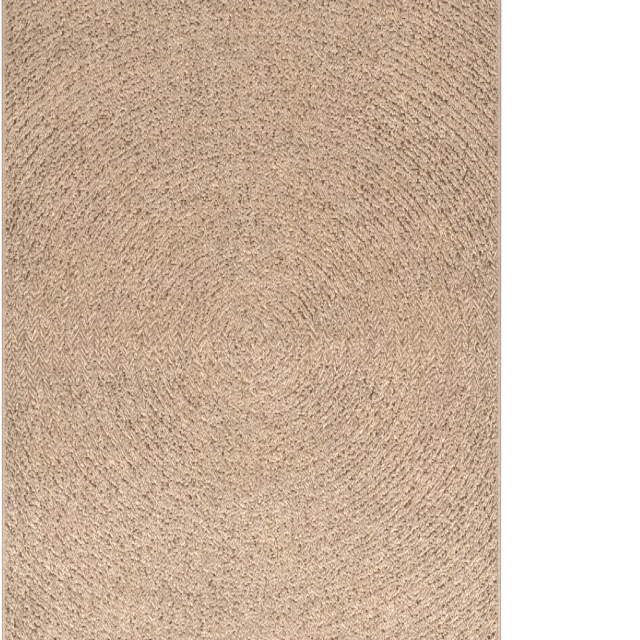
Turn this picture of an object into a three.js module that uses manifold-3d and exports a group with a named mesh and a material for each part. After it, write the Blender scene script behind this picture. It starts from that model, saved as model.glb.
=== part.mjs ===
// Flat woven outdoor rug with concentric braid-like rings and an overlocked edge.
// Millimetres, +Z up. The origin is on the floor under the middle of the rug,
// +X runs along its width and +Y along its length.

import * as THREE from 'three';
import { mergeVertices } from 'three/addons/utils/BufferGeometryUtils.js';
import Module from 'manifold-3d';

const wasm = await Module();
wasm.setup();

// Driving dimensions of the whole rug.
const RUG_WIDTH = 1600;
const RUG_LENGTH = 2300;
const CORNER_RADIUS = 8;

// The cloth: its rings rise from a groove to a low flat crown.
const GROOVE_HEIGHT = 4;
const CROWN_HEIGHT = 5.2;
const GROOVE_HALF_WIDTH = 6;
const RING_SIDES = 48;

// The rings' common centre lies a little to the right of the rug's middle.
const RING_CENTRE_X = 9.6;
const CENTRE_BUD_RADIUS = 16;

// Widths of the rings from the centre outwards. The weave isn't even, so they differ.
const RING_WIDTHS = [
  42, 45, 46, 50, 41, 37, 40, 37, 32, 40, 46, 36, 46, 48, 39, 44, 47,
  40, 38, 41, 33, 45, 51, 55, 48, 35, 42, 44, 41, 43, 42, 42, 42,
];

// The cloth's margin is pinched to a thin tongue where the yarn is whipped over it.
const TONGUE_LOW = 1.7;
const TONGUE_HIGH = 3.7;

// The overlocked edge: a wall of yarn round the tongue, with a rounded outer side.
const OVERLOCK_WIDTH = 11;
const OVERLOCK_HEIGHT = 5.6;
const OVERLOCK_WALL = 1.4;
const OVERLOCK_ROUNDING = 2;
const ROUNDING_STEPS = 3;
const CORNER_STEPS = 4;

// Touching pieces stay this far apart.
const GAP = 0.3;

// Height of a cutting block that goes through the whole rug.
const CUT_HEIGHT = 40;

// Corners of a mesh that are closer than this are one corner.
const SAME_CORNER = 0.0001;

function clothMaterial() {
  return new THREE.MeshStandardMaterial({ color: 0xbfa38b, roughness: 0.9, metalness: 0 });
}

function overlockMaterial() {
  return new THREE.MeshStandardMaterial({ color: 0xc8ab90, roughness: 0.85, metalness: 0 });
}

// A closed geometry becomes a solid once its shared corners are one and flat slivers are gone.
function solidFrom(geometry) {
  const bare = geometry.clone();
  bare.deleteAttribute('normal');
  bare.deleteAttribute('uv');
  const merged = mergeVertices(bare, SAME_CORNER);
  const index = merged.index.array;
  const corners = [];
  for (let i = 0; i < index.length; i += 3) {
    const [a, b, c] = [index[i], index[i + 1], index[i + 2]];
    if (a !== b && b !== c && c !== a) corners.push(a, b, c);
  }
  return new wasm.Manifold(new wasm.Mesh({
    numProp: 3,
    vertProperties: new Float32Array(merged.attributes.position.array),
    triVerts: new Uint32Array(corners),
  }));
}

function geometryFrom(solid) {
  const mesh = solid.getMesh();
  const geometry = new THREE.BufferGeometry();
  geometry.setAttribute('position', new THREE.BufferAttribute(mesh.vertProperties, 3));
  geometry.setIndex(new THREE.BufferAttribute(mesh.triVerts, 1));
  geometry.computeVertexNormals();
  return geometry;
}

// The rug's outline drawn in by a distance, with its round corners drawn in too.
function rugOutline(inset) {
  const x = RUG_WIDTH / 2 - inset;
  const y = RUG_LENGTH / 2 - inset;
  const radius = CORNER_RADIUS - inset;
  const outline = new THREE.Shape();
  if (radius <= 0) {
    outline.moveTo(-x, -y).lineTo(x, -y).lineTo(x, y).lineTo(-x, y);
    return outline;
  }
  outline.moveTo(-x + radius, -y);
  outline.absarc(x - radius, -y + radius, radius, -Math.PI / 2, 0, false);
  outline.absarc(x - radius, y - radius, radius, 0, Math.PI / 2, false);
  outline.absarc(-x + radius, y - radius, radius, Math.PI / 2, Math.PI, false);
  outline.absarc(-x + radius, -y + radius, radius, Math.PI, Math.PI * 1.5, false);
  return outline;
}

// A flat slab of the rug's outline between two heights.
function slab(inset, low, high) {
  const geometry = new THREE.ExtrudeGeometry(rugOutline(inset), {
    depth: high - low,
    bevelEnabled: false,
    curveSegments: CORNER_STEPS,
  });
  geometry.translate(0, 0, low);
  return solidFrom(geometry);
}

// A slab of the rug's whole outline with rounded edges, from the floor up.
function roundedSlab(height, rounding) {
  const geometry = new THREE.ExtrudeGeometry(rugOutline(0), {
    depth: height - 2 * rounding,
    bevelEnabled: true,
    bevelThickness: rounding,
    bevelSize: rounding,
    bevelOffset: -rounding,
    bevelSegments: ROUNDING_STEPS,
    curveSegments: CORNER_STEPS,
  });
  geometry.translate(0, 0, rounding);
  return solidFrom(geometry);
}

// A disc of concentric rings, turned from one profile: groove, crown, groove, crown.
function ringField() {
  const top = [new THREE.Vector2(0, CROWN_HEIGHT)];
  let grooveRadius = CENTRE_BUD_RADIUS;
  for (const width of RING_WIDTHS) {
    top.push(new THREE.Vector2(grooveRadius - GROOVE_HALF_WIDTH, CROWN_HEIGHT));
    top.push(new THREE.Vector2(grooveRadius, GROOVE_HEIGHT));
    top.push(new THREE.Vector2(grooveRadius + GROOVE_HALF_WIDTH, CROWN_HEIGHT));
    grooveRadius += width;
  }
  top.push(new THREE.Vector2(grooveRadius, CROWN_HEIGHT));
  const profile = [new THREE.Vector2(0, 0), new THREE.Vector2(grooveRadius, 0), ...top.reverse()];
  const geometry = new THREE.LatheGeometry(profile, RING_SIDES);
  geometry.rotateX(Math.PI / 2);
  geometry.translate(RING_CENTRE_X, 0, 0);
  return solidFrom(geometry);
}

// One panel: the ring field cut to the rug inside its edge, with the pinched tongue round it.
function clothSolid() {
  const panel = ringField().intersect(slab(OVERLOCK_WIDTH + GAP, 0, CUT_HEIGHT));
  const tongue = slab(OVERLOCK_WALL + GAP, TONGUE_LOW, TONGUE_HIGH);
  return panel.add(tongue);
}

// The whole overlocked edge: a rounded frame, hollowed where the tongue lies in it.
function overlockFrame() {
  const window = slab(OVERLOCK_WIDTH, -CUT_HEIGHT, CUT_HEIGHT);
  const hollow = slab(OVERLOCK_WALL, TONGUE_LOW - GAP, TONGUE_HIGH + GAP);
  return roundedSlab(OVERLOCK_HEIGHT, OVERLOCK_ROUNDING).subtract(window).subtract(hollow);
}

// A block that cuts one stretch out of the frame.
function cuttingBlock(width, length, x, y) {
  const geometry = new THREE.BoxGeometry(width, length, CUT_HEIGHT);
  geometry.translate(x, y, 0);
  return solidFrom(geometry);
}

const rug = new THREE.Group();

function addPiece(name, solid, material) {
  const piece = new THREE.Mesh(geometryFrom(solid), material);
  piece.name = name;
  rug.add(piece);
}

addPiece('rug_cloth', clothSolid(), clothMaterial());

// The side stretches run between the end stretches, which go round the corners.
const frame = overlockFrame();
const sideLength = RUG_LENGTH - 2 * OVERLOCK_WIDTH - 2 * GAP;
for (const [name, side] of [['overlock_left', -1], ['overlock_right', 1]]) {
  const block = cuttingBlock(RUG_WIDTH / 2, sideLength, side * RUG_WIDTH / 2, 0);
  addPiece(name, frame.intersect(block), overlockMaterial());
}
for (const [name, end] of [['overlock_near_end', -1], ['overlock_far_end', 1]]) {
  const block = cuttingBlock(RUG_WIDTH * 2, OVERLOCK_WIDTH * 2, 0, end * RUG_LENGTH / 2);
  addPiece(name, frame.intersect(block), overlockMaterial());
}

export default rug;
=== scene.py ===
# Flat woven outdoor rug with concentric braid-like rings and an overlocked yarn edge.
# Metres, +Z up. The rug lies on the floor at z = 0, its width along X and its length along Y.

import math

import bpy
import numpy as np
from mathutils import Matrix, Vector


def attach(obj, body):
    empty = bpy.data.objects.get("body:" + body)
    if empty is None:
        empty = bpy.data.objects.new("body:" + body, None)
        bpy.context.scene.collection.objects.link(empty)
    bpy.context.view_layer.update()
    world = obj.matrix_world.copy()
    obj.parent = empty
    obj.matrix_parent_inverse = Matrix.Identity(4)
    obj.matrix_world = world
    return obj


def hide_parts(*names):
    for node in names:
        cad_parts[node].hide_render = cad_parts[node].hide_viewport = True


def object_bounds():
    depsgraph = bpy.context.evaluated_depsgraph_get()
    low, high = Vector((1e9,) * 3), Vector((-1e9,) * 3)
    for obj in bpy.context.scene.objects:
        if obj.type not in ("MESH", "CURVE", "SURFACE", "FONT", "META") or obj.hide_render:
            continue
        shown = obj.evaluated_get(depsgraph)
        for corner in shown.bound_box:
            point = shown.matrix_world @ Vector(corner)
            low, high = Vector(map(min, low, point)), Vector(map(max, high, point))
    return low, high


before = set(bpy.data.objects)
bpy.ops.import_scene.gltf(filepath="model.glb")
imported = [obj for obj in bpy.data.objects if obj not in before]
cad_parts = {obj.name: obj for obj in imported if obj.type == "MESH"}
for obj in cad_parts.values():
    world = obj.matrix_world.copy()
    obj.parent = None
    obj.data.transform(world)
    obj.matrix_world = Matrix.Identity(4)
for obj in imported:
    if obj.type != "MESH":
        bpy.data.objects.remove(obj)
cad_low, cad_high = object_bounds()


# The camera looks straight down from above the rug, as the photo does. The photo's frame is
# 2.05 m wide at the rug: the left edge lies just inside it, and both ends run out of it.

PHOTO_PIXELS = 640
RUG_PIXELS = 499.9
RUG_LEFT_PIXEL = 1.45
RING_CENTRE_PIXEL_Y = 342.25
LENS_MM = 50.0
SENSOR_MM = 36.0

rug_width = cad_high.x - cad_low.x
rug_length = cad_high.y - cad_low.y
pixel = rug_width / RUG_PIXELS
view_width = PHOTO_PIXELS * pixel

camera_data = bpy.data.cameras.new("camera")
camera_data.lens = LENS_MM
camera_data.sensor_width = SENSOR_MM
camera = bpy.data.objects.new("camera", camera_data)
camera.location = (
    cad_low.x + (PHOTO_PIXELS / 2 - RUG_LEFT_PIXEL) * pixel,
    (RING_CENTRE_PIXEL_Y - PHOTO_PIXELS / 2) * pixel,
    cad_high.z + view_width * LENS_MM / SENSOR_MM,
)
bpy.context.scene.collection.objects.link(camera)
bpy.context.scene.camera = camera


# The ground weave is one flat panel. Pale warps run along Y, and at each pick they rise over
# a dark brown weft as a row of slanted beads, so the panel has low ribs that run across the rug.

OVERLOCK_WIDTH = 0.011
SEAM_GAP = 0.0003
RIB_COUNT = 434
WARP_COUNT = 451
GROUND_TOP = 0.0042
RIB_DEPTH = 0.0006
ROWS_PER_RIB = 4
GROUND_COLUMNS = 8
RIB_GAP_SHARPNESS = 1.5
RIB_UNEVENNESS = 0.0003
UNEVEN_WAVES = [(9.0, 5.0, 0.0), (-7.0, 23.0, 1.0), (17.0, -14.0, 0.0)]

panel_width = rug_width - 2 * (OVERLOCK_WIDTH + SEAM_GAP)
panel_length = rug_length - 2 * (OVERLOCK_WIDTH + SEAM_GAP)
rib_pitch = panel_length / RIB_COUNT
warp_pitch = panel_width / WARP_COUNT


def place_node(tree, kind, inputs=None, **settings):
    """A new node. inputs gives its sockets, by name or number, a value or a socket to follow."""
    made = tree.nodes.new(kind)
    for name, value in settings.items():
        setattr(made, name, value)
    for name, value in (inputs or {}).items():
        if isinstance(value, bpy.types.NodeSocket):
            tree.links.new(value, made.inputs[name])
        else:
            made.inputs[name].default_value = value
    return made


def maths(tree, operation, *values):
    """The result of a maths node on numbers or sockets."""
    return place_node(tree, "ShaderNodeMath", dict(enumerate(values)), operation=operation).outputs[0]


def new_tree(name, sockets):
    """A Geometry Nodes tree with named inputs, given as name, kind and value, and one output."""
    tree = bpy.data.node_groups.new(name, "GeometryNodeTree")
    for label, kind, value in sockets:
        socket = tree.interface.new_socket(label, in_out="INPUT", socket_type=kind)
        if value is not None:
            socket.default_value = value
    tree.interface.new_socket("Geometry", in_out="OUTPUT", socket_type="NodeSocketGeometry")
    return tree, tree.nodes.new("NodeGroupInput").outputs


def end_tree(tree, geometry, material):
    """Ends a tree: instances become real, and the mesh is smooth and wears its material."""
    real = place_node(tree, "GeometryNodeRealizeInstances", {"Geometry": geometry})
    smooth = place_node(tree, "GeometryNodeSetShadeSmooth", {"Geometry": real.outputs[0]})
    dressed = place_node(
        tree, "GeometryNodeSetMaterial", {"Geometry": smooth.outputs[0], "Material": material}
    )
    place_node(tree, "NodeGroupOutput", {"Geometry": dressed.outputs[0]})


def grow(name, tree, values, start):
    """A plain mesh piece that a Geometry Nodes tree makes from a start mesh."""
    host = bpy.data.objects.new(name + "_host", start)
    bpy.context.scene.collection.objects.link(host)
    modifier = host.modifiers.new("grow", "NODES")
    modifier.node_group = tree
    for item in tree.interface.items_tree:
        if item.in_out == "INPUT" and item.name in values:
            modifier[item.identifier] = values[item.name]
    graph = bpy.context.evaluated_depsgraph_get()
    grown = bpy.data.meshes.new_from_object(host.evaluated_get(graph), depsgraph=graph)
    grown.name = name
    piece = bpy.data.objects.new(name, grown)
    bpy.context.scene.collection.objects.link(piece)
    bpy.data.objects.remove(host)
    return piece


def place_mesh(name, mesh, material):
    """Puts a ready mesh into the scene, wearing its material."""
    mesh.materials.append(material)
    piece = bpy.data.objects.new(name, mesh)
    bpy.context.scene.collection.objects.link(piece)
    return piece


def ribbed_ground():
    """A thin closed panel: ribs run along X on its top, with a narrow gap beside each rib."""
    columns = GROUND_COLUMNS + 1
    rows = RIB_COUNT * ROWS_PER_RIB + 1
    x, y = np.meshgrid(
        np.linspace(-panel_width / 2, panel_width / 2, columns),
        np.linspace(-panel_length / 2, panel_length / 2, rows),
    )
    wave = np.abs(np.sin(math.pi * (y + panel_length / 2) / rib_pitch))
    uneven = sum(np.sin(by_x * x + by_y * y + start) for by_x, by_y, start in UNEVEN_WAVES)
    uneven = uneven / (2 * len(UNEVEN_WAVES)) + 0.5
    drop = RIB_DEPTH * (1 - wave) ** RIB_GAP_SHARPNESS + RIB_UNEVENNESS * uneven
    top = np.stack([x, y, GROUND_TOP - drop], axis=2).reshape(-1, 3)
    corner = np.arange(rows * columns).reshape(rows, columns)
    quads = np.stack(
        [corner[:-1, :-1], corner[:-1, 1:], corner[1:, 1:], corner[1:, :-1]], axis=2
    ).reshape(-1, 4)
    rim = np.concatenate([corner[0, :-1], corner[:-1, -1], corner[-1, :0:-1], corner[:0:-1, 0]])
    under = top[rim] * (1, 1, 0)
    low = len(top) + np.arange(len(rim))
    skirt = np.stack([low, np.roll(low, -1), np.roll(rim, -1), rim], axis=1)
    underside = bottom_strips(low, columns, rows)
    faces = [*quads.tolist(), *skirt.tolist(), *underside]
    mesh = bpy.data.meshes.new("woven_ground")
    mesh.from_pydata(np.concatenate([top, under]).tolist(), [], faces)
    mesh.shade_smooth()
    return mesh


def bottom_strips(low, columns, rows):
    """The flat underside: one strip for each row of points, from the left edge to the right."""
    near = low[: columns]
    right = low[columns - 1 : columns + rows - 1]
    far = low[columns + rows - 2 : 2 * columns + rows - 2]
    left = np.append(low[2 * columns + rows - 3 :], low[0])[::-1]
    strips = [[*near[::-1].tolist(), int(left[1]), int(right[1])]]
    for row in range(1, rows - 2):
        strips.append([int(right[row]), int(left[row]), int(left[row + 1]), int(right[row + 1])])
    strips.append([int(right[rows - 2]), int(left[rows - 2]), *far[::-1].tolist()])
    return strips


def new_material(name, roughness, sheen):
    """A cloth material: its tree, its shader and the object's own coordinates."""
    material = bpy.data.materials.new(name)
    material.use_nodes = True
    tree = material.node_tree
    tree.nodes.clear()
    shader = place_node(
        tree,
        "ShaderNodeBsdfPrincipled",
        {
            "Roughness": roughness,
            "Specular IOR Level": 0.12,
            "Sheen Weight": sheen,
            "Sheen Roughness": 0.5,
        },
    )
    place_node(tree, "ShaderNodeOutputMaterial", {"Surface": shader.outputs[0]})
    coordinates = place_node(tree, "ShaderNodeTexCoord").outputs["Object"]
    return material, tree, shader, coordinates


def tint_ramp(tree, factor, stops, interpolation="LINEAR"):
    """A colour ramp, from stops of place and colour."""
    made = place_node(tree, "ShaderNodeValToRGB", {"Fac": factor})
    ramp = made.color_ramp
    ramp.interpolation = interpolation
    while len(ramp.elements) < len(stops):
        ramp.elements.new(1.0)
    for element, (place, colour) in zip(ramp.elements, stops):
        element.position = place
        element.color = (*colour, 1.0)
    return made.outputs["Color"]


def bump(tree, shader, height, distance):
    """Raises the shader's surface by a height from 0 to 1, where 1 is a distance in metres."""
    made = place_node(tree, "ShaderNodeBump", {"Height": height, "Distance": distance})
    tree.links.new(made.outputs[0], shader.inputs["Normal"])


def shaded(tree, colour, factor):
    """A colour made lighter or darker by a factor."""
    made = place_node(
        tree, "ShaderNodeVectorMath", {0: colour, "Scale": factor}, operation="SCALE"
    )
    return made.outputs[0]


def multiplied(tree, colour, other):
    """Two colours multiplied channel by channel."""
    made = place_node(tree, "ShaderNodeVectorMath", {0: colour, 1: other}, operation="MULTIPLY")
    return made.outputs[0]


def spread(tree, value, low, high):
    """A number from 0 to 1 spread between two others."""
    made = place_node(
        tree, "ShaderNodeMapRange", {"Value": value, "To Min": low, "To Max": high}
    )
    return made.outputs[0]


TONE_PATCHES_PER_METRE = 3.0
TONE_BANDS_PER_METRE = (0.5, 9.0, 1.0)
SLOW_TONES = (0.84, 1.16)
HUE_PATCHES_PER_METRE = 4.5
HUE_DRIFT = [(0.35, (0.985, 1.0, 0.94)), (0.65, (1.01, 0.985, 1.02))]


def slow_tone(tree, coordinates):
    """Soft patches and broad bands across the rug, as yarn batches and picks differ a little."""
    patches = place_node(
        tree,
        "ShaderNodeTexNoise",
        {"Vector": coordinates, "Scale": TONE_PATCHES_PER_METRE, "Detail": 3.0},
    )
    stretched = place_node(
        tree, "ShaderNodeMapping", {"Vector": coordinates, "Scale": TONE_BANDS_PER_METRE}
    )
    bands = place_node(
        tree, "ShaderNodeTexNoise", {"Vector": stretched.outputs[0], "Scale": 1.0, "Detail": 2.0}
    )
    both = maths(tree, "ADD", patches.outputs[0], bands.outputs[0])
    return spread(tree, maths(tree, "MULTIPLY", both, 0.5), *SLOW_TONES)


def slow_hue(tree, coordinates, colour):
    """Lets a colour drift a little, greener in some patches and pinker in others."""
    patches = place_node(
        tree,
        "ShaderNodeTexNoise",
        {"Vector": coordinates, "Scale": HUE_PATCHES_PER_METRE, "Detail": 2.0},
    )
    return multiplied(tree, colour, tint_ramp(tree, patches.outputs[0], HUE_DRIFT))


PALER_BY = (0.080, 0.120, 0.165)
PALENESS_FROM_NEAR_END = [(0.60, 1.0), (0.78, 0.45), (1.08, 0.45), (1.28, 0.0)]


def paler_towards_near_end(tree, coordinates, colour):
    """Makes the colour paler over the near half of the rug, and paler still over the part nearest the
    near end.
    """
    y = place_node(tree, "ShaderNodeSeparateXYZ", {0: coordinates}).outputs["Y"]
    share = maths(tree, "DIVIDE", maths(tree, "ADD", y, rug_length / 2), rug_length)
    stops = [(place / rug_length, (pale, pale, pale)) for place, pale in PALENESS_FROM_NEAR_END]
    paler = shaded(tree, PALER_BY, tint_ramp(tree, share, stops))
    more = place_node(
        tree, "ShaderNodeVectorMath", {0: colour, 1: paler, 2: colour}, operation="MULTIPLY_ADD"
    )
    return more.outputs[0]


# The warp beads are coloured much darker than the float yarn: partly for the brown weft that shows in
# the ground, partly as painted shade of the low ground between the floats.
WARP_TINTS_WITH_PAINTED_SHADE = [
    (0.0, (0.337, 0.217, 0.139)),
    (0.2, (0.310, 0.200, 0.123)),
    (0.4, (0.355, 0.236, 0.156)),
    (0.6, (0.318, 0.204, 0.132)),
    (0.8, (0.300, 0.196, 0.127)),
]
WEFT_BROWN = (0.13, 0.066, 0.028)
BEAD_SLANT = 0.35
BEAD_OPENINGS = (-0.1, 0.34)
BEAD_CRISPNESS = 7.0
BEAD_TONES = (0.66, 1.16)
# Painted shade: each bead is darker towards the sides of its warp, where it rounds down.
BEAD_FLANK_PAINTED_SHADE = {"From Min": 0.0, "From Max": 0.2, "To Min": 0.8, "To Max": 1.0}
BEAD_RELIEF = 0.0006


def ground_material():
    """Beads of warp in five near shades, each a little slanted, with the weft between them."""
    material, tree, shader, coordinates = new_material(
        "woven_ground", roughness=0.9, sheen=0.03
    )
    place = place_node(tree, "ShaderNodeSeparateXYZ", {0: coordinates}).outputs
    warp = maths(tree, "DIVIDE", maths(tree, "ADD", place["X"], panel_width / 2), warp_pitch)
    rib = maths(tree, "DIVIDE", maths(tree, "ADD", place["Y"], panel_length / 2), rib_pitch)
    off_middle = maths(tree, "SUBTRACT", maths(tree, "FRACT", warp), 0.5)
    leaned_rib = maths(tree, "ADD", rib, maths(tree, "MULTIPLY", off_middle, BEAD_SLANT))
    repeats = maths(tree, "DIVIDE", maths(tree, "FLOOR", warp), float(len(WARP_TINTS_WITH_PAINTED_SHADE)))
    in_repeat = maths(tree, "ADD", maths(tree, "FRACT", repeats), 0.25 / len(WARP_TINTS_WITH_PAINTED_SHADE))
    colour = tint_ramp(tree, in_repeat, WARP_TINTS_WITH_PAINTED_SHADE, "CONSTANT")
    cell = place_node(
        tree,
        "ShaderNodeCombineXYZ",
        {"X": maths(tree, "FLOOR", warp), "Y": maths(tree, "FLOOR", leaned_rib)},
    )
    chance = place_node(tree, "ShaderNodeTexWhiteNoise", {"Vector": cell.outputs[0]})
    across = maths(tree, "PINGPONG", warp, 0.5)
    along = maths(tree, "PINGPONG", leaned_rib, 0.5)
    opening = spread(tree, maths(tree, "POWER", chance.outputs["Value"], 2.0), *BEAD_OPENINGS)
    bead = maths(tree, "MULTIPLY", maths(tree, "SUBTRACT", along, opening), BEAD_CRISPNESS)
    bead = place_node(tree, "ShaderNodeClamp", {"Value": bead}).outputs[0]
    # Painted shade on the sides of each bead.
    painted_flank_shade = place_node(tree, "ShaderNodeMapRange", {"Value": across, **BEAD_FLANK_PAINTED_SHADE}).outputs[0]
    other = place_node(tree, "ShaderNodeSeparateXYZ", {0: chance.outputs["Color"]}).outputs["Y"]
    tone = maths(tree, "MULTIPLY", spread(tree, other, *BEAD_TONES), painted_flank_shade)
    tone = maths(tree, "MULTIPLY", tone, slow_tone(tree, coordinates))
    colour = slow_hue(tree, coordinates, shaded(tree, colour, tone))
    colour = paler_towards_near_end(tree, coordinates, colour)
    mixed = place_node(
        tree,
        "ShaderNodeMix",
        {"Factor": bead, "A": (*WEFT_BROWN, 1.0), "B": colour},
        data_type="RGBA",
    )
    tree.links.new(mixed.outputs["Result"], shader.inputs["Base Color"])
    round_bead = maths(tree, "MULTIPLY", bead, maths(tree, "POWER", across, 0.5))
    bump(tree, shader, round_bead, BEAD_RELIEF)
    return material


cloth = place_mesh("woven_ground", ribbed_ground(), ground_material())
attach(cloth, "root")
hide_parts("rug_cloth")


# The floats are pale yarns that skip over one to four picks and stand proud of the ground.
# They lie in slanted rows round one centre. Each row leans against the next, like braids, with
# a thin circle of bare ground between them and a gap after each stitch.

SEED = 7
RING_CENTRE_X = 0.0074
CENTRE_BUD_RADIUS = 0.016
RING_WIDTHS_MM = [
    42, 45, 46, 50, 41, 37, 40, 37, 32, 40, 46, 36, 46, 48, 39, 44, 47,
    40, 38, 41, 33, 45, 51, 55, 48, 35, 42, 44, 41, 43, 42, 42, 42,
]
INNER_ROW_END = 0.60
OUTER_ROW_END = 1.08
CIRCLE_WANDER = 0.0007
WANDER_WAVES = [(11, 40, 0.0), (23, -31, 1.0)]

draw = np.random.default_rng(SEED)
warp_x = (np.arange(WARP_COUNT) + 0.5) * warp_pitch - panel_width / 2
rib_y = (np.arange(RIB_COUNT) + 0.5) * rib_pitch - panel_length / 2


def bare_circles():
    """Radii at which two rows of stitches meet, from the centre outwards. A ring has two rows."""
    circles = [0.0, CENTRE_BUD_RADIUS]
    ring_start = CENTRE_BUD_RADIUS
    for width_mm in RING_WIDTHS_MM:
        width = width_mm / 1000
        circles += [ring_start + INNER_ROW_END * width, ring_start + OUTER_ROW_END * width]
        ring_start += width
    return np.array(circles)


circles = bare_circles()
row_middle = (circles[:-1] + circles[1:]) / 2


def row_place(x, y):
    """For places on the rug: their row, their angle and radius, and how far a circle is."""
    angle = np.arctan2(y, x - RING_CENTRE_X) % (2 * math.pi)
    radius = np.hypot(x - RING_CENTRE_X, y)
    wander = sum(
        np.sin(turns * angle + by_radius * radius + start)
        for turns, by_radius, start in WANDER_WAVES
    )
    radius = np.abs(radius + CIRCLE_WANDER * wander)
    row = np.clip(np.searchsorted(circles, radius, side="right") - 1, 0, len(row_middle) - 1)
    edge = np.minimum(radius - circles[row], circles[row + 1] - radius)
    return row, angle, radius, edge


# A cell is where one warp crosses one pick. The rug's sides have across_rug 0 and its ends 1,
# and diagonal is 1 halfway between them, where the circles cross the weave slantwise.
DIAGONAL_FOCUS = 1.5

cell_x, cell_y = np.meshgrid(warp_x, rib_y, indexing="ij")
cell_row, cell_angle, cell_radius, cell_edge = row_place(cell_x, cell_y)
across_rug = np.sin(cell_angle) ** 2
diagonal = np.abs(np.sin(2 * cell_angle)) ** DIAGONAL_FOCUS

# Stitches lie side by side along each row. A fraction of each stitch's pitch is left as a gap.
INNER_LEAN = math.radians(57)
OUTER_LEAN = math.radians(-64)
STITCH_PITCHES = [
    {"up_to": 0.37, "pitch": 0.030},
    {"up_to": 0.42, "pitch": 0.020},
    {"up_to": 2.00, "pitch": 0.025},
]
PITCH_SPREAD = 0.12
STITCH_FRAY = 0.08
STITCH_SHARE = 0.78
STITCH_SHARE_SPREAD = 0.08
GAP_WIDENING = 0.08
DRAWN_STITCHES = 300


def stitches_round():
    """How many stitches lie in each row. The pitch differs a little from row to row."""
    pitch = np.zeros(len(row_middle))
    for band in reversed(STITCH_PITCHES):
        pitch[row_middle < band["up_to"]] = band["pitch"]
    pitch = pitch * (1 + draw.uniform(-PITCH_SPREAD, PITCH_SPREAD, len(row_middle)))
    return np.maximum(1, np.round(2 * math.pi * row_middle / pitch))


row_lean = np.where(np.arange(len(row_middle)) % 2 == 1, INNER_LEAN, OUTER_LEAN)
row_stitches = stitches_round()
slanted = (cell_radius - row_middle[cell_row]) * np.tan(row_lean[cell_row]) / row_middle[cell_row]
counted = (cell_angle - slanted) * row_stitches[cell_row] / (2 * math.pi)
counted += draw.random(len(row_middle))[cell_row]
counted += draw.uniform(-STITCH_FRAY, STITCH_FRAY, counted.shape)
stitch_number = np.floor(counted).astype(int)
stitch_direction = (cell_angle + row_lean[cell_row]) % math.pi - math.pi / 2
cell_stitch = stitch_number % DRAWN_STITCHES
stitch_draws = draw.uniform(-1, 1, (2, len(row_middle), DRAWN_STITCHES))
stitch_share = STITCH_SHARE + STITCH_SHARE_SPREAD * stitch_draws[0, cell_row, cell_stitch]
stitch_share -= GAP_WIDENING * diagonal
is_gap = counted % 1 >= stitch_share

# Floats close many gaps where the stitches lie nearly flat along the warps, or on the slants.
CLOSED_FLAT_GAPS = 0.85
CLOSED_AT_DIAGONALS = 0.7

closed_when_flat = CLOSED_FLAT_GAPS * np.sin(stitch_direction) ** 4
closed_share = np.maximum(closed_when_flat, CLOSED_AT_DIAGONALS * diagonal)
is_closed = draw.random(is_gap.shape) < closed_share

# The bare circles are thin. On the slants every second one is crisp, most of all to the right.
# The outermost warps float across circles and gaps. A few cells anywhere miss their float.
BARE_HALF_WIDTH = 0.0016
BARE_AT_SIDES = 0.32
BARE_AT_ENDS = 0.25
BARE_AT_DIAGONALS = 0.5
LOOSE_AT_DIAGONALS = 0.4
CRISPER_TO_RIGHT = 0.4
CRISPNESS_REACH = 0.4
SIDE_WARPS = 1
MISSED_FLOATS = 0.03

circle = cell_row + (cell_radius > row_middle[cell_row])
is_crisp = circle % 2 == 1
crispness = 1 + CRISPER_TO_RIGHT * np.clip(cell_x / CRISPNESS_REACH, -1, 1)
bare_share = BARE_AT_SIDES * (1 - across_rug) + BARE_AT_ENDS * across_rug
bare_on_slants = np.where(is_crisp, BARE_AT_DIAGONALS * crispness, LOOSE_AT_DIAGONALS)
bare_share += (bare_on_slants - bare_share) * diagonal
is_float = (~is_gap | is_closed) & (cell_edge > BARE_HALF_WIDTH * bare_share)
is_float |= cell_row == 0
is_float[:SIDE_WARPS] = True
is_float[-SIDE_WARPS:] = True
is_float &= draw.random(is_float.shape) > MISSED_FLOATS

# Short stretches of pick stay bare, as dark spots, at the tips of gaps and on the circles. The
# far part of the rug has more of them. Floats pass over the rib before and the rib after each.
# MOST_STITCHES is more than any row holds.
STITCH_TIP = 0.005
LONGER_TIP_AT_ENDS = 0.4
PICKS_AT_TIPS = 0.55
FEWER_AT_SIDES = 0.35
MOST_STITCHES = 10000
CIRCLE_REACH = 0.0024
LEAST_DIAGONAL = 0.25
PICKS_ON_CIRCLES = 0.75
LOOSE_PICKS = 0.4
WIDE_ON_CIRCLES = 0.4
FEWER_TO_NEAR_END = 0.35
FEWER_BELOW_Y = 0.65
FEWER_OVER_LENGTH = 0.4

openness = 1 - FEWER_TO_NEAR_END * np.clip((FEWER_BELOW_Y - rib_y) / FEWER_OVER_LENGTH, 0, 1)


def one_of_each(key):
    """The index of one place drawn at random from each group of places that share a key."""
    order = draw.permutation(len(key))
    return order[np.unique(key[order], return_index=True)[1]]


def picks_at_tips():
    """Where gaps between stitches meet a circle: at most one pick at each end of a gap."""
    tip = STITCH_TIP * (1 + LONGER_TIP_AT_ENDS * across_rug)
    column, rib = np.nonzero(is_gap & (cell_edge < tip))
    outer = circle[column, rib] > cell_row[column, rib]
    own_row = (2 * cell_row[column, rib] + outer) * MOST_STITCHES
    drawn = one_of_each(own_row + stitch_number[column, rib] % MOST_STITCHES)
    column = column[drawn]
    rib = rib[drawn]
    chance = PICKS_AT_TIPS * (1 - FEWER_AT_SIDES * (1 - across_rug[column, rib]))
    kept = draw.random(len(column)) < chance * openness[rib]
    return column[kept], rib[kept]


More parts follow.
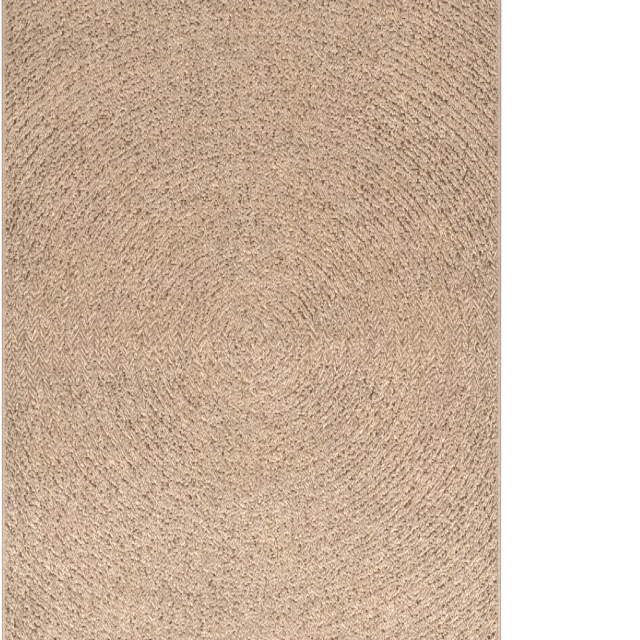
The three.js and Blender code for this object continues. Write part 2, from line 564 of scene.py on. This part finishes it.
def picks_on_circles():
    """Where a circle runs slantwise: at most one pick on each rib that it crosses."""
    column, rib = np.nonzero((cell_edge < CIRCLE_REACH) & (diagonal > LEAST_DIAGONAL))
    side = column > WARP_COUNT / 2
    drawn = one_of_each((2 * circle[column, rib] + side) * RIB_COUNT + rib)
    column = column[drawn]
    rib = rib[drawn]
    chance = np.where(is_crisp[column, rib], PICKS_ON_CIRCLES, LOOSE_PICKS)
    chance *= (1 + crispness[column, rib]) / 2
    kept = draw.random(len(column)) < chance * diagonal[column, rib] * openness[rib]
    return column[kept], rib[kept]


# A wide pick shows across two warps, any other one across one warp.
is_wide = np.zeros(is_float.shape, bool)
is_wide[picks_at_tips()] = True
is_pick = is_wide.copy()
circle_column, circle_rib = picks_on_circles()
is_pick[circle_column, circle_rib] = True
is_wide[circle_column, circle_rib] |= draw.random(len(circle_column)) < WIDE_ON_CIRCLES
is_pick[:SIDE_WARPS] = False
is_pick[-SIDE_WARPS - 1 :] = False
is_pick[:, 0] = False
is_pick[:, -1] = False
is_pick[1:] &= ~is_pick[:-1]
pick_column, pick_rib = np.nonzero(is_pick)
pick_span = 1 + is_wide[pick_column, pick_rib]
for over in (-1, 1):
    is_float[pick_column, pick_rib + over] = True
    is_float[pick_column + pick_span - 1, pick_rib + over] = True
is_float[pick_column, pick_rib] = False
is_float[pick_column + pick_span - 1, pick_rib] = False

# How many ribs a float may pass over is drawn anew for each one, between these two.
LEAST_LIMIT = 2
MOST_LIMIT = 4
SHORTER_AT_ENDS = 0.45


def float_runs():
    """Each float's warp, the rib it starts on and how many ribs it passes over."""
    runs = []
    for column in range(WARP_COUNT):
        run = 0
        limit = LEAST_LIMIT
        for row in range(RIB_COUNT + 1):
            if row < RIB_COUNT and is_float[column, row] and run < limit:
                run += 1
                continue
            if run >= 1:
                runs.append((column, row - run, run))
            run = int(row < RIB_COUNT and is_float[column, row])
            at_ends = across_rug[column, min(row, RIB_COUNT - 1)]
            choices = (MOST_LIMIT - LEAST_LIMIT + 1) * (1 - SHORTER_AT_ENDS * at_ends)
            limit = LEAST_LIMIT + int(draw.random() * choices)
    return np.array(runs)


def stitch_points(name, places, sizes, leans, shades):
    """A mesh of loose points that carry each stitch's size, lean and shade."""
    mesh = bpy.data.meshes.new(name)
    mesh.vertices.add(len(places))
    mesh.vertices.foreach_set("co", np.asarray(places, np.float32).ravel())
    size = mesh.attributes.new("stitch_size", "FLOAT_VECTOR", "POINT")
    size.data.foreach_set("vector", np.asarray(sizes, np.float32).ravel())
    lean = mesh.attributes.new("lean", "FLOAT", "POINT")
    lean.data.foreach_set("value", np.asarray(leans, np.float32))
    shade = mesh.attributes.new("shade", "FLOAT", "POINT")
    shade.data.foreach_set("value", np.asarray(shades, np.float32))
    return mesh


# A lump of yarn is a ball of few sides, scaled along its own axes and then laid on its side.
LUMP_SCALE = {"up": 1.33, "across": 1.0, "along": 2.3}
LUMP_TURN = (math.pi / 2, -math.pi / 2, 0.0)
DRAWN_IN = 0.35
DRAWN_IN_WITH_SQUARE = -4.0


def stitch_tree():
    """Lays a low lump of yarn on each point, along Y before its lean.

    Drawing the lump in carries each of the ball's poles past the middle to the other end. So
    the end caps of a float cross inside it, and all faces of a pick's lump point inwards.
    """
    tree, given = new_tree(
        "laid_stitches",
        [
            ("Points", "NodeSocketGeometry", None),
            ("Sides", "NodeSocketInt", 3),
            ("Rings", "NodeSocketInt", 3),
            ("Drawn In", "NodeSocketFloat", DRAWN_IN),
            ("Material", "NodeSocketMaterial", None),
        ],
    )
    ball = place_node(
        tree,
        "GeometryNodeMeshUVSphere",
        {"Segments": given["Sides"], "Rings": given["Rings"], "Radius": 0.5},
    )
    turned = place_node(
        tree,
        "GeometryNodeTransform",
        {
            "Geometry": ball.outputs["Mesh"],
            "Rotation": LUMP_TURN,
            "Scale": (LUMP_SCALE["up"], LUMP_SCALE["across"], LUMP_SCALE["along"]),
        },
    )
    position = place_node(tree, "GeometryNodeInputPosition").outputs[0]
    place = place_node(tree, "ShaderNodeSeparateXYZ", {0: position}).outputs
    square = maths(tree, "MULTIPLY", place["Y"], place["Y"])
    inside = maths(tree, "MULTIPLY_ADD", square, DRAWN_IN_WITH_SQUARE, 1.0)
    stretch = maths(tree, "MULTIPLY_ADD", inside, given["Drawn In"], 1.0)
    moved = place_node(
        tree,
        "ShaderNodeCombineXYZ",
        {"X": place["X"], "Y": maths(tree, "MULTIPLY", place["Y"], stretch), "Z": place["Z"]},
    )
    lump = place_node(
        tree,
        "GeometryNodeSetPosition",
        {"Geometry": turned.outputs[0], "Position": moved.outputs[0]},
    )
    size = place_node(
        tree, "GeometryNodeInputNamedAttribute", {"Name": "stitch_size"}, data_type="FLOAT_VECTOR"
    )
    lean = place_node(
        tree, "GeometryNodeInputNamedAttribute", {"Name": "lean"}, data_type="FLOAT"
    )
    turn = place_node(tree, "ShaderNodeCombineXYZ", {"Z": lean.outputs[0]})
    laid = place_node(
        tree,
        "GeometryNodeInstanceOnPoints",
        {
            "Points": given["Points"],
            "Instance": lump.outputs[0],
            "Rotation": turn.outputs[0],
            "Scale": size.outputs[0],
        },
    )
    end_tree(tree, laid.outputs[0], given["Material"])
    return tree


FIBRES_PER_METRE = (2600.0, 320.0, 900.0)
FIBRE_TWIST = 0.25
FIBRE_TONES = (0.74, 1.26)


def yarn_material(name, colour, relief, painted_shade_by_place=None):
    """Brushed outdoor yarn: fine fibres along it, and each stitch a little lighter or darker.

    painted_shade_by_place, where given, makes a colour of painted shade that the yarn's own is
    multiplied by.
    """
    material, tree, shader, coordinates = new_material(name, roughness=0.85, sheen=0.02)
    shade = place_node(tree, "ShaderNodeAttribute", attribute_name="shade").outputs["Fac"]
    stretched = place_node(
        tree,
        "ShaderNodeMapping",
        {"Vector": coordinates, "Scale": FIBRES_PER_METRE, "Rotation": (0.0, 0.0, FIBRE_TWIST)},
    )
    fibres = place_node(
        tree, "ShaderNodeTexNoise", {"Vector": stretched.outputs[0], "Scale": 1.0, "Detail": 2.0}
    )
    tone = maths(tree, "MULTIPLY", shade, spread(tree, fibres.outputs[0], *FIBRE_TONES))
    tone = maths(tree, "MULTIPLY", tone, slow_tone(tree, coordinates))
    tinted = paler_towards_near_end(tree, coordinates, shaded(tree, colour, tone))
    # Where given, painted shade by place darkens the yarn's colour.
    if painted_shade_by_place:
        tinted = multiplied(tree, tinted, painted_shade_by_place(tree, coordinates))
    tree.links.new(tinted, shader.inputs["Base Color"])
    bump(tree, shader, fibres.outputs[0], relief)
    return material


# A float lies over the middle of its run. It leans the way its stitch runs, though far less,
# and lies lower beside a circle.
FLOAT_YARNS = [
    ("floats_cream", (0.88, 0.700, 0.545)),
    ("floats_honey", (0.81, 0.600, 0.415)),
    ("floats_sand", (0.82, 0.612, 0.446)),
    ("floats_rose", (0.77, 0.563, 0.418)),
    ("floats_tan", (0.66, 0.475, 0.332)),
]
ODD_YARNS = 0.8
SHORT_FLOATS_KEPT = 0.4
FLOAT_HEIGHT = 0.0009
SINK = 0.0002
FULL_HEIGHT_AT = 0.008
LEAST_RISE = 0.3
LOWER_BY = 0.4
HEIGHTS = (0.85, 1.15)
LENGTHS_PER_RUN = (1.05, 1.25)
WIDTHS_PER_WARP = (1.15, 1.35)
LEAN_SHARE = 0.34
STEEPEST_LEAN = math.radians(48)
LESS_LEAN_AT_ENDS = 0.5
LEAN_SPREAD = 0.18
STITCH_TONE_SPREAD = 0.08
FLOAT_SHADES = (0.93, 1.08)
FLOAT_RELIEF = 0.0006

stitches = stitch_tree()
runs = float_runs()
runs = runs[(runs[:, 2] > 1) | (draw.random(len(runs)) < SHORT_FLOATS_KEPT)]
run_row = cell_row[runs[:, 0], runs[:, 1]]
run_stitch = cell_stitch[runs[:, 0], runs[:, 1]]
yarn_of_stitch = draw.integers(0, len(FLOAT_YARNS), (len(row_middle), DRAWN_STITCHES))
yarn_of_float = yarn_of_stitch[run_row, run_stitch]
is_odd_one = draw.random(len(runs)) < ODD_YARNS
yarn_of_float[is_odd_one] = draw.integers(0, len(FLOAT_YARNS), np.count_nonzero(is_odd_one))
for number, (name, colour) in enumerate(FLOAT_YARNS):
    mine = runs[yarn_of_float == number]
    column = mine[:, 0]
    middle_rib = mine[:, 1] + mine[:, 2] // 2
    count = len(mine)
    x = warp_x[column]
    y = (mine[:, 1] + mine[:, 2] / 2) * rib_pitch - panel_length / 2
    row = cell_row[column, middle_rib]
    rise = np.clip(cell_edge[column, middle_rib] / FULL_HEIGHT_AT, LEAST_RISE, 1)
    length = mine[:, 2] * rib_pitch * draw.uniform(*LENGTHS_PER_RUN, count)
    height = FLOAT_HEIGHT * (1 - LOWER_BY + LOWER_BY * rise) * draw.uniform(*HEIGHTS, count)
    width = warp_pitch * draw.uniform(*WIDTHS_PER_WARP, count)
    leans = np.clip(stitch_direction[column, middle_rib], -STEEPEST_LEAN, STEEPEST_LEAN)
    leans = LEAN_SHARE * leans * (1 - LESS_LEAN_AT_ENDS * across_rug[column, middle_rib])
    leans += draw.uniform(-LEAN_SPREAD, LEAN_SPREAD, count)
    tone = 1 + STITCH_TONE_SPREAD * stitch_draws[1, row, cell_stitch[column, middle_rib]]
    points = stitch_points(
        name + "_points",
        np.stack([x, y, np.full(count, GROUND_TOP - SINK)], axis=1),
        np.stack([width, length, height], axis=1),
        leans,
        tone * draw.uniform(*FLOAT_SHADES, count),
    )
    values = {"Material": yarn_material(name, colour, FLOAT_RELIEF)}
    piece = grow(name, stitches, values, points)
    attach(piece, "root")


# The dark picks are short stretches of the brown weft that no warp covers. They lie where the
# gap between two stitches meets a circle, and along the circles where these run slantwise.

PICK_YARNS = [
    ("dark_picks", (0.078, 0.030, 0.008)),
    ("brown_picks", (0.120, 0.052, 0.017)),
]
PICK_HEIGHT = 0.0010
PICK_THICKNESSES = (0.0044, 0.0054)
PICK_REACHES = (1.1, 1.4)
REACH_BEYOND_WARPS = 0.1
PICK_LEAN_SPREAD = 0.4
PICK_SHADES = (0.7, 1.3)
PICK_RELIEF = 0.0004

yarn_of_pick = draw.integers(0, len(PICK_YARNS), len(pick_column))
for number, (name, colour) in enumerate(PICK_YARNS):
    mine = yarn_of_pick == number
    count = np.count_nonzero(mine)
    span = pick_span[mine]
    x = warp_x[pick_column[mine]] + (span - 1) * warp_pitch / 2
    y = rib_y[pick_rib[mine]]
    thick = draw.uniform(*PICK_THICKNESSES, count)
    reach = draw.uniform(*PICK_REACHES, count) * (span + REACH_BEYOND_WARPS) * warp_pitch
    points = stitch_points(
        name + "_points",
        np.stack([x, y, np.full(count, GROUND_TOP - PICK_HEIGHT / 4)], axis=1),
        np.stack([thick, reach, np.full(count, PICK_HEIGHT)], axis=1),
        math.pi / 2 + draw.uniform(-PICK_LEAN_SPREAD, PICK_LEAN_SPREAD, count),
        draw.uniform(*PICK_SHADES, count),
    )
    values = {"Sides": 4, "Rings": 2, "Material": yarn_material(name, colour, PICK_RELIEF)}
    piece = grow(name, stitches, values, points)
    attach(piece, "root")


# The overlocked edge is yarn whipped over the cut cloth, one wrap beside the next. The wraps
# of each end go on round its two corners, where they fan out. Where the yarn turns down the
# outside it is painted greyer and darker, as painted shade.

WRAP_PITCH = 0.0034
WRAP_YARN_WIDTH = 0.0037
WRAP_YARN_HEIGHT = 0.0017
WRAP_BEND = 0.0026
OVERLOCK_TOP = 0.0056
TIP_LOWER_BY = 0.0012
FLAT_REACH = 0.75
REACH_BELOW = 0.95

half_width = rug_width / 2
half_length = rug_length / 2


def wrap_mesh():
    """One wrap, on edge at x = 0 and reaching in: a flat yarn bent over the cloth's edge.

    Its faces point inwards.
    """
    half = WRAP_YARN_HEIGHT / 2
    low = half
    high = OVERLOCK_TOP - half
    path = [
        (-OVERLOCK_WIDTH, high - TIP_LOWER_BY),
        (-OVERLOCK_WIDTH * FLAT_REACH, high),
        (-WRAP_BEND, high),
        (-half, (high + low) / 2),
        (-WRAP_BEND, low),
        (-OVERLOCK_WIDTH * REACH_BELOW, low),
    ]
    count = len(path)
    vertices = []
    for index, (x, z) in enumerate(path):
        before = path[max(index - 1, 0)]
        after = path[min(index + 1, count - 1)]
        run = math.hypot(after[0] - before[0], after[1] - before[1])
        out_x = -(after[1] - before[1]) / run
        out_z = (after[0] - before[0]) / run
        vertices += [
            (x + out_x * half, 0.0, z + out_z * half),
            (x, WRAP_YARN_WIDTH / 2, z),
            (x - out_x * half, 0.0, z - out_z * half),
            (x, -WRAP_YARN_WIDTH / 2, z),
        ]
    faces = [(3, 2, 1, 0), tuple(4 * (count - 1) + k for k in range(4))]
    for span in range(count - 1):
        for side in range(4):
            here = 4 * span + side
            beside = 4 * span + (side + 1) % 4
            faces.append((here, beside, beside + 4, here + 4))
    mesh = bpy.data.meshes.new("one_wrap")
    mesh.from_pydata(vertices, [], faces)
    return mesh


def wrap_tree():
    """Repeats the one wrap on each point, at its size and turned the way that is out there."""
    tree, given = new_tree(
        "whipped_edge",
        [
            ("Points", "NodeSocketGeometry", None),
            ("Wrap", "NodeSocketObject", None),
            ("Turn", "NodeSocketFloat", 0.0),
            ("Material", "NodeSocketMaterial", None),
        ],
    )
    wrap = place_node(tree, "GeometryNodeObjectInfo", {"Object": given["Wrap"]})
    size = place_node(
        tree, "GeometryNodeInputNamedAttribute", {"Name": "stitch_size"}, data_type="FLOAT_VECTOR"
    )
    lean = place_node(
        tree, "GeometryNodeInputNamedAttribute", {"Name": "lean"}, data_type="FLOAT"
    )
    angle = maths(tree, "ADD", lean.outputs[0], given["Turn"])
    turn = place_node(tree, "ShaderNodeCombineXYZ", {"Z": angle})
    laid = place_node(
        tree,
        "GeometryNodeInstanceOnPoints",
        {
            "Points": given["Points"],
            "Instance": wrap.outputs["Geometry"],
            "Rotation": turn.outputs[0],
            "Scale": size.outputs[0],
        },
    )
    end_tree(tree, laid.outputs[0], given["Material"])
    return tree


CORNER_RADIUS = 0.008


def side_outline(run):
    """A place on the right side, run from its middle. Out is straight to the right there."""
    return half_width, run, 0.0


def end_outline(run):
    """A place on the far end and round its corners, run from its middle, as a side's is given.

    The third number is how far the way out has turned there.
    """
    straight = half_width - CORNER_RADIUS
    past = min(max(abs(run) - straight, 0.0), CORNER_RADIUS * math.pi / 2)
    turn = past / CORNER_RADIUS
    beyond = max(abs(run) - straight - past, 0.0)
    x = min(abs(run), straight) + CORNER_RADIUS * math.sin(turn)
    y = half_length - CORNER_RADIUS * (1 - math.cos(turn)) - beyond
    side = math.copysign(1.0, run)
    return y, -side * x, -side * turn


WRAP_WIDTHS = (0.95, 1.08)
WRAP_HEIGHTS = (0.96, 1.0)
WRAP_LEAN = 0.08
WRAP_LEAN_SPREAD = 0.05
WRAP_SHADES = (0.88, 1.1)


def edge_points(name, outline, half_run, turn):
    """Points along one edge, which is the outline turned about the rug's middle.

    They carry each wrap's size, lean and shade.
    """
    count = round(2 * half_run / WRAP_PITCH)
    runs_at = ((np.arange(count) + 0.5) / count * 2 - 1) * half_run
    out, along, fanned = np.array([outline(run) for run in runs_at]).T
    cosine = round(math.cos(turn))
    sine = round(math.sin(turn))
    places = np.stack([out * cosine - along * sine, out * sine + along * cosine, out * 0], axis=1)
    widths = draw.uniform(*WRAP_WIDTHS, count)
    heights = draw.uniform(*WRAP_HEIGHTS, count)
    sizes = np.stack([np.ones(count), widths, heights], axis=1)
    leans = draw.uniform(-WRAP_LEAN_SPREAD, WRAP_LEAN_SPREAD, count) + WRAP_LEAN + fanned
    return stitch_points(name, places, sizes, leans, draw.uniform(*WRAP_SHADES, count))


EDGE_YARN = (0.490, 0.362, 0.268)
# Painted shade: colours the edge yarn is multiplied by, darkest and greyest at the outer rim.
PAINTED_EDGE_SHADES = [(0.0, (0.32, 0.34, 0.37)), (0.27, (0.62, 0.62, 0.63)), (0.53, (1.0, 1.0, 1.0))]
EDGE_RELIEF = 0.0004


def painted_edge_shade(tree, coordinates):
    """Painted shade: the edge yarn is made greyer and darker where it bends down the outside of the
    rug.
    """
    place = place_node(tree, "ShaderNodeSeparateXYZ", {0: coordinates}).outputs
    in_from_side = maths(tree, "SUBTRACT", half_width, maths(tree, "ABSOLUTE", place["X"]))
    in_from_end = maths(tree, "SUBTRACT", half_length, maths(tree, "ABSOLUTE", place["Y"]))
    share = maths(tree, "DIVIDE", maths(tree, "MINIMUM", in_from_side, in_from_end), OVERLOCK_WIDTH)
    return tint_ramp(tree, share, PAINTED_EDGE_SHADES)


wrap_source = bpy.data.objects.new("one_wrap", wrap_mesh())
wraps = wrap_tree()
# The edge yarn wears painted shade, greyer and darker down the outside of the rug.
edge_yarn = yarn_material("edge_yarn", EDGE_YARN, EDGE_RELIEF, painted_edge_shade)
side_run = half_length - OVERLOCK_WIDTH
end_run = half_width + CORNER_RADIUS * (math.pi / 2 - 2) + OVERLOCK_WIDTH

for node, name, outline, half_run, turn in [
    ("overlock_right", "whipped_right", side_outline, side_run, 0.0),
    ("overlock_left", "whipped_left", side_outline, side_run, math.pi),
    ("overlock_far_end", "whipped_far_end", end_outline, end_run, math.pi / 2),
    ("overlock_near_end", "whipped_near_end", end_outline, end_run, -math.pi / 2),
]:
    points = edge_points(name + "_points", outline, half_run, turn)
    values = {"Wrap": wrap_source, "Turn": turn, "Material": edge_yarn}
    piece = grow(name, wraps, values, points)
    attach(piece, "root")
    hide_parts(node)

bpy.data.objects.remove(wrap_source)


# The floor is a plain white sheet, lit by a broad soft light overhead and a pale surround.

FLOOR_HALF = 60.0
FLOOR_BELOW = 0.0002
FLOOR_COLOUR = (0.64, 0.64, 0.64, 1.0)
SURROUND_STRENGTH = 1.17
LAMP_SIZE = 2.4
LAMP_POWER = 160.0
LAMP_PLACE = (0.4, -2.4, 3.9)

floor_material = bpy.data.materials.new("floor")
floor_material.use_nodes = True
floor_shader = floor_material.node_tree.nodes["Principled BSDF"]
floor_shader.inputs["Base Color"].default_value = FLOOR_COLOUR
floor_shader.inputs["Roughness"].default_value = 0.9

floor_mesh = bpy.data.meshes.new("floor")
floor_mesh.from_pydata(
    [
        (-FLOOR_HALF, -FLOOR_HALF, 0),
        (FLOOR_HALF, -FLOOR_HALF, 0),
        (FLOOR_HALF, FLOOR_HALF, 0),
        (-FLOOR_HALF, FLOOR_HALF, 0),
    ],
    [],
    [(0, 1, 2, 3)],
)
floor = place_mesh("floor", floor_mesh, floor_material)
floor.location.z = -FLOOR_BELOW

world = bpy.data.worlds.new("surround")
world.use_nodes = True
surround = world.node_tree.nodes["Background"]
surround.inputs["Color"].default_value = (1.0, 1.0, 1.0, 1.0)
surround.inputs["Strength"].default_value = SURROUND_STRENGTH
bpy.context.scene.world = world

lamp_data = bpy.data.lights.new("overhead", "AREA")
lamp_data.shape = "RECTANGLE"
lamp_data.size = LAMP_SIZE
lamp_data.size_y = LAMP_SIZE
lamp_data.energy = LAMP_POWER
lamp = bpy.data.objects.new("overhead", lamp_data)
lamp.location = LAMP_PLACE
lamp.rotation_mode = "QUATERNION"
lamp.rotation_quaternion = (-lamp.location).to_track_quat("-Z", "Y")
bpy.context.scene.collection.objects.link(lamp)

bpy.context.scene.view_settings.view_transform = "Standard"
